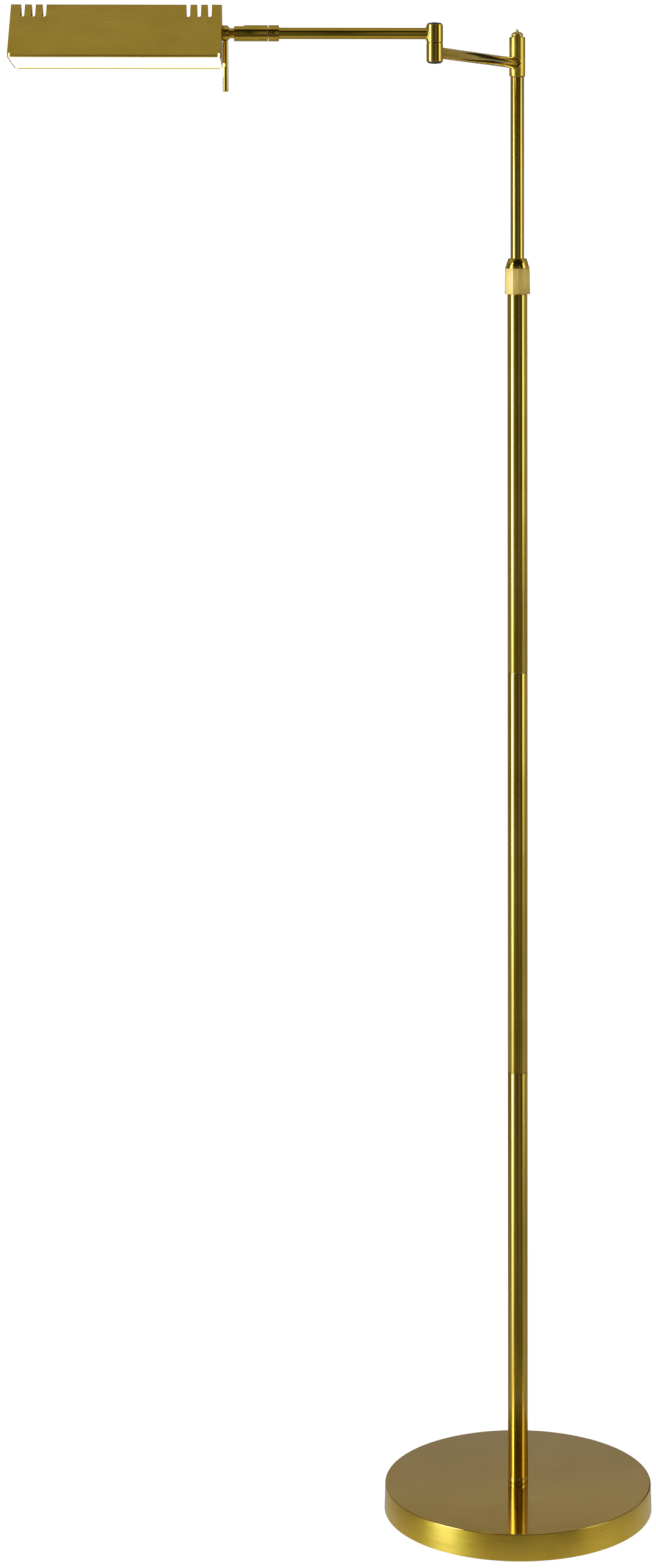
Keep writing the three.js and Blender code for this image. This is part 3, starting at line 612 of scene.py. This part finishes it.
knob_radius, knob_from, knob_to = measured("dimmer_knob", outer_lathe)
dimmer_barrel = turn("dimmer_barrel", [
    (KNOB_BORE, knob_from), (knob_radius, knob_from), (knob_radius, knob_to), (KNOB_NECK, knob_to),
    (KNOB_NECK, knob_to - KNOB_END), (KNOB_BORE, knob_to - KNOB_END),
], ALONG_X, steps=80, bevel=0.4)
flat_height = knob_radius - FLAT_DEPTH
mill_start = knob_to - FLAT_LENGTH
mill = slab("mill", [
    (mill_start - FLAT_RAMP, -10, knob_radius + 0.05), (mill_start, -10, flat_height),
    (knob_to + 2, -10, flat_height), (knob_to + 2, -10, knob_radius + 3),
    (mill_start - FLAT_RAMP, -10, knob_radius + 3),
], (0, 20, 0))
carve(dimmer_barrel, mill)
soften(dimmer_barrel, 0.12, angle=25)
settle(dimmer_barrel, outer_frame)
fit(dimmer_barrel, "dimmer", fitting_brass, "dimmer_knob")

# ---- Head knuckle and handle ---------------------------------------------------------------
# A stepped flange and a turned knuckle fasten the head to the shaft. A thin polished rod with a
# rounded tip screws into the knuckle from below; it turns the head without touching the shade.
THREAD_HOLE = 3.6
flange_radius, flange_from, flange_to = measured("swivel_flange", outer_lathe)
step_flange = turn("step_flange", [
    (THREAD_HOLE, flange_from), (flange_radius - 0.6, flange_from), (flange_radius, flange_from + 0.5),
    (flange_radius, flange_to), (THREAD_HOLE, flange_to),
], outer_lathe, steps=56, bevel=0.15)
fit(step_flange, "head", fitting_brass, "swivel_flange")

HEAD_TILT = 4.7
SPIGOT = 5
KNUCKLE_BODY = 5
head_frame = outer_frame @ Matrix.Rotation(math.radians(HEAD_TILT), 4, "X")
head_lathe = head_frame @ ALONG_X
knuckle_radius, knuckle_from, knuckle_end = measured("head_knuckle", head_lathe)
knuckle_to = knuckle_from + KNUCKLE_BODY
knuckle = turn("turned_knuckle", [
    (THREAD_HOLE, knuckle_from), (knuckle_radius, knuckle_from), (knuckle_radius, knuckle_to),
    (SPIGOT, knuckle_to), (SPIGOT, knuckle_end), (THREAD_HOLE, knuckle_end),
], head_lathe, bevel=0.45)
fit(knuckle, "head", fitting_brass, "head_knuckle")
dress(zinc, "knuckle_lock_ring")

# The rod is polished bright, so it carries sharp upright lines of light.
rod_brass = lacquered_brass("polished rod brass", 0.09, (0.6, 0.6, 30))
handle_points = [head_frame.inverted() @ v.co for v in frame["nodes"]["handle_rod"].data.vertices]
handle_at = sum(point.x for point in handle_points) / len(handle_points)
handle_frame = head_frame @ Matrix.Translation((handle_at, 0, 0))
handle_radius, handle_tip, handle_top = measured("handle_rod", handle_frame)
neck = handle_radius - 0.25
TIP_ROUND = 1.6
STUB = 1.8
STUB_LENGTH = 2.8
shank_top = handle_top - STUB_LENGTH
handle = turn("handle_stem", [
    (0, handle_tip), *arc((handle_radius - TIP_ROUND, handle_tip + TIP_ROUND), TIP_ROUND, -90, 0),
    (neck, shank_top - 0.3), (neck - 0.3, shank_top), (STUB, shank_top), (STUB, handle_top),
    (0, handle_top),
], handle_frame, steps=48, bevel=0)
fit(handle, "head", rod_brass, "handle_rod")

# ---- Shade ---------------------------------------------------------------------------------
# One brass sheet folded to a tent, brushed along its length, lacquered, with three slots sawn
# through the ridge near each end, a short lip turned down along both lower edges, and relief
# cuts where the lips end.
SHEET = 1.2
HALF_DEPTH = 39
RIDGE = 25.2
CREASE = -24.7
MOUTH = -26.7
LIP_LEAN = 1.25
FOLD_ABOVE = 0.7
FOLD_BELOW = 0.5
RIDGE_BEND = 2.6
SLOT_WIDTH = 3.4
SLOT_BOTTOM = 12.9
SLOT_FIRST = 10.5
SLOT_PITCH = 9.4
RELIEF_WIDTH = 2.4
RELIEF_TOP = -22.8

_, shade_from, shade_to = measured("shade", head_lathe)
ridge_centre = RIDGE - RIDGE_BEND
panel_drop = ridge_centre - CREASE
panel_turn = (math.acos(RIDGE_BEND / math.hypot(HALF_DEPTH, panel_drop))
              - math.atan2(panel_drop, HALF_DEPTH))


def tent_half(inset, mouth, corner=0.0):
    """The front half of the tent's outline in (depth, height), from its mouth up to the ridge."""
    side = HALF_DEPTH - inset
    bend = RIDGE_BEND - inset
    slope = math.tan(panel_turn)
    edge = bend / math.cos(panel_turn)
    crease = ridge_centre + (edge - side) / slope
    ridge = arc((0, ridge_centre), bend, math.degrees(panel_turn), 90, 5)
    if corner:
        above = mouth + corner
        return [(side - corner, mouth), (edge - slope * (above - ridge_centre), above), *ridge]
    above = crease + FOLD_ABOVE
    folded = (edge - slope * (above - ridge_centre), above)
    return [(side - LIP_LEAN, mouth), (side, crease - FOLD_BELOW), folded, *ridge]


def tent(inset, mouth, corner=0.0):
    """The whole outline, set in from the outer face, with its corners taken off if asked."""
    front = tent_half(inset, mouth, corner)
    return front + [(-depth, height) for depth, height in reversed(front[:-1])]


folded_sheet = draw("folded_sheet", [(shade_from, y, z) for y, z in tent(0, MOUTH)])
bpy.ops.mesh.extrude_region_move(TRANSFORM_OT_translate={"value": ((shade_to - shade_from) * MM, 0, 0)})
close_up()
if max(folded_sheet.data.polygons, key=lambda face: face.center.z).normal.z < 0:
    folded_sheet.data.flip_normals()
wall = folded_sheet.modifiers.new("sheet", "SOLIDIFY")
wall.thickness = SHEET * MM
wall.offset = -1
wall.use_even_offset = True
bpy.ops.object.modifier_apply(modifier=wall.name)


def sawn_slot(at):
    """A cutter for one slot, round at its bottom, that runs across the whole tent."""
    half = SLOT_WIDTH / 2
    foot = arc((at, SLOT_BOTTOM + half), half, 180, 360, 12)
    outline = [(at - half, RIDGE + 2), *foot, (at + half, RIDGE + 2)]
    return slab("saw", [(x, -50, z) for x, z in outline], (0, 100, 0))


def relief(start, end):
    """A cutter for the reliefs at one end of both lips."""
    outline = [(start, MOUTH - 2), (end, MOUTH - 2), (end, RELIEF_TOP), (start, RELIEF_TOP)]
    return slab("relief", [(x, -50, z) for x, z in outline], (0, 100, 0))


for i in range(3):
    inset = SLOT_FIRST + i * SLOT_PITCH
    carve(folded_sheet, sawn_slot(shade_from + inset))
    carve(folded_sheet, sawn_slot(shade_to - inset))
carve(folded_sheet, relief(shade_from - 2, shade_from + RELIEF_WIDTH))
carve(folded_sheet, relief(shade_to - RELIEF_WIDTH, shade_to + 2))
soften(folded_sheet, 0.15, angle=40)
settle(folded_sheet, head_frame)

# The sheet's brushing runs along it, coarse enough to see, over cloudy toning. Light from the front
# spreads up and down the panel.
shade_axis = (math.cos(outer_turn), math.sin(outer_turn), 0)
shade_brass = lacquered_brass("brushed sheet brass", 0.3, (50, 0.6, 0.6), shade_axis, 0.6, across=True,
                              turned=(0, 0, outer_turn), contrast=0.13, cloud=35, lacquer=0.3)
fit(folded_sheet, "head", shade_brass, "shade")


def end_plate(name, node, hole=0.0):
    """A flat plate cut to fill one end of the tent, its lower corners taken off, drilled if asked."""
    _, low, high = measured(node, head_lathe)
    outline = tent(SHEET + 0.2, MOUTH + 0.2, corner=4)
    piece = slab(name, [(low, y, z) for y, z in outline], (high - low, 0, 0))
    if hole:
        bpy.ops.mesh.primitive_cylinder_add(
            vertices=56, radius=hole * MM, depth=20 * MM, location=((low + high) / 2 * MM, 0, 0),
            rotation=(0, math.radians(90), 0))
        carve(piece, bpy.context.object)
    soften(piece, 0.15)
    settle(piece, head_frame)
    fit(piece, "head", shade_brass, node)


end_plate("tent_end_1", "end_plate_right", SPIGOT + 0.1)
end_plate("tent_end_2", "end_plate_left")

# ---- Light ---------------------------------------------------------------------------------
# An aluminium tray under the ridge carries the board of light-emitting diodes. An opal acrylic
# panel, a little above the lips, spreads their light evenly.
aluminium = plain_stock("rolled aluminium", ("#B9BCBF", "#CFD2D4"), (30, 0.6, 0.6), 0.4, 1.0, 0.1)
solder_mask = plain_stock("white solder mask", ("#E9E9E4", "#F3F3EF"), (1, 1, 1), 0.35, 0.0, 0.05)
dress(aluminium, "led_tray")
dress(solder_mask, "led_board")
dress(zinc, "board_screw_1", "board_screw_2")

# A frosted face that glows warm white and hides the diodes.
opal, opal_tree, opal_shader = new_material("lit opal acrylic")
frosting = grain(opal_tree, (25, 25, 25), detail=1.0)
glow = add(opal_tree, "ShaderNodeMapRange", {"Value": frosting, "To Min": 8.5, "To Max": 9.5})
opal_shader.inputs["Base Color"].default_value = linear("#F7F3E8")
opal_shader.inputs["Roughness"].default_value = 0.45
opal_shader.inputs["Emission Color"].default_value = linear("#FFF6DC")
opal_tree.links.new(glow.outputs["Result"], opal_shader.inputs["Emission Strength"])

panel_corners = [head_frame.inverted() @ vertex.co for vertex in frame["nodes"]["diffuser"].data.vertices]
panel_low = [min(values) for values in zip(*panel_corners)]
panel_high = [max(values) for values in zip(*panel_corners)]
bpy.ops.object.select_all(action="DESELECT")
bpy.ops.mesh.primitive_cube_add(
    size=1, location=[(a + b) / 2 for a, b in zip(panel_low, panel_high)],
    scale=[b - a for a, b in zip(panel_low, panel_high)])
opal_panel = bpy.context.object
opal_panel.name = opal_panel.data.name = "opal_panel"
bpy.ops.object.transform_apply(location=True, rotation=True, scale=True)
soften(opal_panel, 0.3)
settle(opal_panel, head_frame)
fit(opal_panel, "head", opal, "diffuser")

# ---- Studio --------------------------------------------------------------------------------
# A white floor and surroundings that are dark in front and grey behind and overhead. A tall soft
# light on either side draws a bright line down the tubes.
# WHITE is how bright a thing must be to come out pure white.
WHITE = 2
FLOOR_GLOW = 0.9
FLOOR_SIZE = 300
bpy.ops.object.select_all(action="DESELECT")
bpy.ops.mesh.primitive_plane_add(size=FLOOR_SIZE, location=(0, 0, -0.5 * MM))
floor = bpy.context.object
floor.name = floor.data.name = "studio_floor"
floor_paint, floor_tree, floor_shader = new_material("matt white floor")
floor_shader.inputs["Base Color"].default_value = linear("#959595")
floor_shader.inputs["Roughness"].default_value = 0.9
floor_shader.inputs["Emission Color"].default_value = linear("#FFFFFF")
floor_seen = add(floor_tree, "ShaderNodeMapRange", {
    "Value": add(floor_tree, "ShaderNodeLightPath").outputs["Is Camera Ray"],
    "To Min": FLOOR_GLOW, "To Max": WHITE,
})
floor_tree.links.new(floor_seen.outputs["Result"], floor_shader.inputs["Emission Strength"])
# Seen from underneath, the floor lets the lamp's underside show.
floor_side = add(floor_tree, "ShaderNodeMixShader", {
    0: add(floor_tree, "ShaderNodeNewGeometry").outputs["Backfacing"], 1: floor_shader.outputs["BSDF"],
    2: add(floor_tree, "ShaderNodeBsdfTransparent").outputs["BSDF"],
})
floor_tree.links.new(floor_side.outputs["Shader"], floor_tree.nodes["Material Output"].inputs["Surface"])
floor.data.materials.append(floor_paint)
floor.visible_glossy = False

# A sheet of paper under the lamp, which the rim mirrors. It is bright out to the lamp's edge.
PAPER = 195
PAPER_BRIGHT = 140
bpy.ops.object.select_all(action="DESELECT")
bpy.ops.mesh.primitive_circle_add(
    vertices=64, radius=PAPER * MM, fill_type="NGON", location=(0, 0, -1 * MM))
paper = bpy.context.object
paper.name = paper.data.name = "studio_paper"
paper_white, paper_tree, paper_shader = new_material("matt white paper")
paper_from_middle = add(paper_tree, "ShaderNodeVectorMath", {
    0: add(paper_tree, "ShaderNodeTexCoord").outputs["Object"],
}, operation="LENGTH")
paper_fall = add(paper_tree, "ShaderNodeMapRange", {
    "Value": paper_from_middle.outputs["Value"], "From Min": PAPER_BRIGHT * MM, "From Max": PAPER * MM,
    "To Min": 0.55, "To Max": 0.4,
}, interpolation_type="SMOOTHSTEP")
paper_shader.inputs["Base Color"].default_value = linear("#000000")
paper_shader.inputs["Specular IOR Level"].default_value = 0.0
paper_shader.inputs["Emission Color"].default_value = linear("#FFFFFF")
paper_tree.links.new(paper_fall.outputs["Result"], paper_shader.inputs["Emission Strength"])
paper.data.materials.append(paper_white)
paper.visible_camera = False
paper.visible_diffuse = False

# The lights and flags stand two metres from the pole.
REACH = 2


def strip_light(name, azimuth, width, low, high, radiance):
    """An upright strip of light that faces the lamp, its azimuth in degrees from the front."""
    angle = math.radians(azimuth)
    bpy.ops.object.light_add(
        type="AREA",
        location=(REACH * math.sin(angle), -REACH * math.cos(angle), (low + high) / 2),
        rotation=(math.radians(90), 0, angle))
    light = bpy.context.object
    light.name = light.data.name = name
    light.data.shape = "RECTANGLE"
    light.data.size = width
    light.data.size_y = high - low
    light.data.energy = radiance * math.pi * width * (high - low)


def flag(name, azimuth, width, low, high):
    """An upright black panel, placed as a strip light is, which is only mirrored."""
    angle = math.radians(azimuth)
    bpy.ops.object.select_all(action="DESELECT")
    bpy.ops.mesh.primitive_plane_add(
        size=1, location=(REACH * math.sin(angle), -REACH * math.cos(angle), (low + high) / 2),
        rotation=(math.radians(90), 0, angle), scale=(width, high - low, 1))
    panel = bpy.context.object
    panel.name = panel.data.name = name
    bpy.ops.object.transform_apply(location=True, rotation=True, scale=True)
    panel.data.materials.append(flag_cloth)
    panel.visible_camera = False
    panel.visible_diffuse = False
    panel.visible_shadow = False


# Two flags behind the lamp lay dark lines along the inner arm.
flag_cloth = plain_stock("matt black duvetyne", ("#0A0A0A", "#141414"), (2, 2, 2), 0.9)
flag("flag_high", 149, 1.7, 1.8, 2.02)
flag("flag_low", 155, 1.5, 0.56, 0.8)

strip_light("softbox_left", -63, 0.7, 0.3, 1.9, 14)
strip_light("softbox_left_foot", -63, 0.7, -0.9, 0.3, 2.9)
strip_light("softbox_right", 70, 0.8, 0.65, 2.2, 2.4)

# How light the surroundings are, by degrees from the front: round the lamp below eye level,
# round it at eye level, and from the front up over the lamp to the back.
LOW_ROUND = [
    (-180, 0.34), (-144, 0.34), (-118, 0.22), (-99, 0.22), (-84, 0.3), (-44, 0.36), (-33, 0.26),
    (-11, 0.18), (0, 0.15), (22, 0.2), (45, 0.13), (55, 0.2), (68, 0.28), (84, 0.2), (118, 0.18),
    (144, 0.36), (180, 0.34),
]
LEVEL_ROUND = [
    (-180, 0.33), (-144, 0.28), (-118, 0.19), (-99, 0.14), (-84, 0.17), (-78, 0.4), (-48, 0.4), (-41, 0.25),
    (-33, 0.14), (-22, 0.09), (-8, 0.08), (0, 0.03), (7, 0.1), (13, 0.17), (25, 0.19),
    (32, 0.1), (38, 0.03), (50, 0.02), (58, 0.3), (95, 0.34), (118, 0.28), (144, 0.36), (180, 0.33),
]
OVERHEAD = [
    (-180, 0.33), (-141, 0.3), (-111, 0.27), (-90, 0.41), (-72, 0.45), (-60, 0.3), (-41, 0.06), (-27, 0.06),
    (14, 0.08), (22, 0.03), (27, 0.015), (44, 0.015), (52, 0.1), (60, 0.32), (68, 0.4), (90, 0.39),
    (111, 0.28), (141, 0.3), (156, 0.39), (180, 0.39),
]
PEAK = 0.5


def lightness(tree, across, up, stops):
    """The lightness of the surroundings by the angle of a direction between two axes."""
    turned = add(tree, "ShaderNodeCombineXYZ", {"X": across, "Y": up})
    angle = add(tree, "ShaderNodeTexGradient", {"Vector": turned.outputs["Vector"]}, gradient_type="RADIAL")
    ramp = add(tree, "ShaderNodeValToRGB", {"Fac": angle.outputs["Fac"]})
    stop_list = ramp.color_ramp.elements
    while len(stop_list) < len(stops):
        stop_list.new(1.0)
    for stop, (degrees, level) in zip(stop_list, stops):
        stop.position = 0.5 + degrees / 360
        stop.color = (level / PEAK, level / PEAK, level / PEAK, 1)
    return ramp.outputs["Color"]


world = bpy.data.worlds.new("studio surroundings")
bpy.context.scene.world = world
world.use_nodes = True
sky = world.node_tree
background = sky.nodes["Background"]
outward = add(sky, "ShaderNodeTexCoord").outputs["Generated"]
direction = add(sky, "ShaderNodeSeparateXYZ", {"Vector": outward})
forwards = add(sky, "ShaderNodeMath", {0: direction.outputs["Y"], 1: -1.0}, operation="MULTIPLY")
to_front = forwards.outputs["Value"]
low_round = lightness(sky, to_front, direction.outputs["X"], LOW_ROUND)
level_round = lightness(sky, to_front, direction.outputs["X"], LEVEL_ROUND)
overhead = lightness(sky, to_front, direction.outputs["Z"], OVERHEAD)
height = add(sky, "ShaderNodeMapRange", {
    "Value": direction.outputs["Z"], "From Min": -0.3, "From Max": -0.1,
}, interpolation_type="SMOOTHSTEP")
steepness = add(sky, "ShaderNodeMath", {0: direction.outputs["Z"]}, operation="ABSOLUTE")
tilt = add(sky, "ShaderNodeMapRange", {
    "Value": steepness.outputs["Value"], "From Min": 0.28, "From Max": 0.42,
}, interpolation_type="SMOOTHSTEP")
round_about = add(sky, "ShaderNodeMix", {"Factor": height.outputs["Result"], 6: low_round, 7: level_round},
                  data_type="RGBA")
everywhere = add(sky, "ShaderNodeMix", {
    "Factor": tilt.outputs["Result"], 6: round_about.outputs[2], 7: overhead,
}, data_type="RGBA")
seen = add(sky, "ShaderNodeLightPath").outputs["Is Camera Ray"]
lit = add(sky, "ShaderNodeMix", {"Factor": seen, 6: everywhere.outputs[2], 7: [WHITE / PEAK] * 3 + [1]},
          data_type="RGBA")
sky.links.new(lit.outputs[2], background.inputs["Color"])
background.inputs["Strength"].default_value = PEAK

# The response to light: true up to middle tones, then a long shoulder that pales the highlights.
SHOULDER = [(0, 0), (0.35, 0.35), (0.5, 0.46), (0.8, 0.6), (1.2, 0.78), (1.6, 0.92), (2, 1)]
view = bpy.context.scene.view_settings
view.view_transform = "Standard"
view.use_curve_mapping = True
view.curve_mapping.white_level = (WHITE, WHITE, WHITE)
curve = view.curve_mapping.curves[3]
for light, tone in SHOULDER[1:-1]:
    curve.points.new(light / WHITE, tone)
for point in curve.points:
    point.handle_type = "VECTOR"
view.curve_mapping.update()
